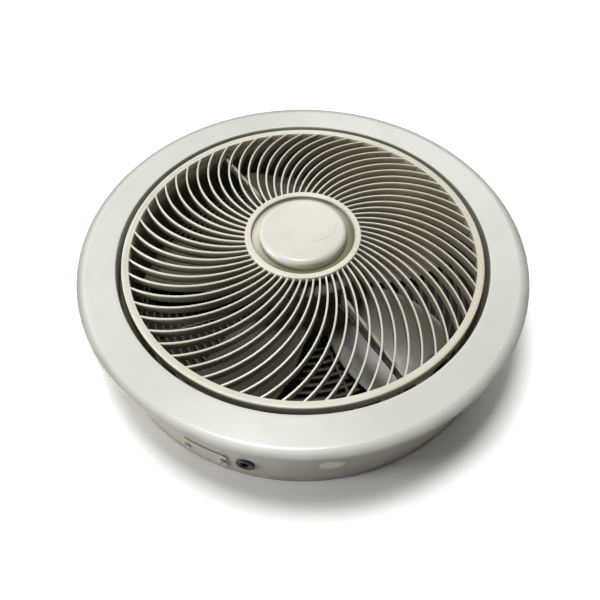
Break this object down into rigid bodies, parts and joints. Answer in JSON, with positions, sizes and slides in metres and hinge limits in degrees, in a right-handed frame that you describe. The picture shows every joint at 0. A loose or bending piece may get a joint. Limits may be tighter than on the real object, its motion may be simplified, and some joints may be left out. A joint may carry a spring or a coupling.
{
  "type": "elevator fan",
  "caption": "Round lift-car ceiling fan: a wide trim ring on a sheet metal drum, a domed swirl grille that turns on its own drive, and an impeller and motor behind it.",
  "frame": {"origin": "on the fan's axis, in the plane of the drum's rear rim", "axes": "+Z along the axis, from the rear rim towards the grille; -Y towards the side with the cable inlet and the rating label"},
  "size_m": [0.3969, 0.397, 0.098],
  "materials": {
    "bezel_plastic": "smooth moulded warm white, satin gloss",
    "drum_paint": "sheet steel with a warm pale grey powder coat",
    "guide_plastic": "moulded warm grey, slightly dusty",
    "guard_plastic": "moulded ivory, matt",
    "zinc_steel": "zinc plated",
    "terminal_plastic": "moulded ivory",
    "terminal_brass": "turned, dull",
    "grommet_rubber": "black, matt",
    "black_plastic": "moulded black",
    "cable_sheath": "black sheath",
    "label_film": "bare pale film",
    "cast_metal": "die cast, sand grey",
    "core_steel": "stacked laminations",
    "winding_copper": "enamelled copper under varnish",
    "bearing_steel": "ground",
    "gearmotor_steel": "zinc plated",
    "bush_bronze": "sintered bronze",
    "blade_plastic": "moulded pale grey, satin",
    "grille_plastic": "moulded cream, satin",
    "cap_plastic": "smooth moulded white, satin gloss"
  },
  "bodies": {
    "housing": {"bezel": "bezel_plastic", "casing": "drum_paint", "shroud": "guide_plastic", "rear_guard": "guard_plastic", "bezel_screws": "zinc_steel", "drum_screws": "zinc_steel", "guard_screws": "zinc_steel", "terminal_cover": "drum_paint", "cover_screws": "zinc_steel", "terminal_block": "terminal_plastic", "terminal_screws": "terminal_brass", "cable_grommet": "grommet_rubber", "run_capacitor": "black_plastic", "capacitor_clip": "zinc_steel", "capacitor_lead": "cable_sheath", "rating_label": "label_film", "motor_rear_bell": "cast_metal", "motor_front_bell": "cast_metal", "stator_core": "core_steel", "stator_winding": "winding_copper", "motor_bearings": "bearing_steel", "motor_bolts": "zinc_steel", "motor_nuts": "zinc_steel", "motor_lead": "cable_sheath", "crossbar": "grille_plastic", "crossbar_screws": "zinc_steel", "gearmotor": "gearmotor_steel", "gearmotor_plate": "gearmotor_steel", "gearmotor_screws": "zinc_steel", "drive_cover": "guard_plastic", "spindle_bush": "bush_bronze", "gearmotor_lead": "cable_sheath"},
    "impeller_set": {"impeller": "blade_plastic", "motor_shaft": "bearing_steel", "rotor": "cast_metal", "impeller_washer": "zinc_steel", "impeller_nut": "zinc_steel"},
    "grille_set": {"louvre_grille": "grille_plastic", "centre_cap": "cap_plastic", "grille_spindle": "bearing_steel", "spindle_nut": "zinc_steel"}
  },
  "joints": [
    {"name": "impeller_spin", "type": "hinge", "parent": "housing", "child": "impeller_set", "pos_m": [0, 0, 0.03], "axis": [0, 0, 1], "continuous": true},
    {"name": "grille_spin", "type": "hinge", "parent": "housing", "child": "grille_set", "pos_m": [0, 0, 0.08], "axis": [0, 0, 1], "continuous": true}
  ]
}
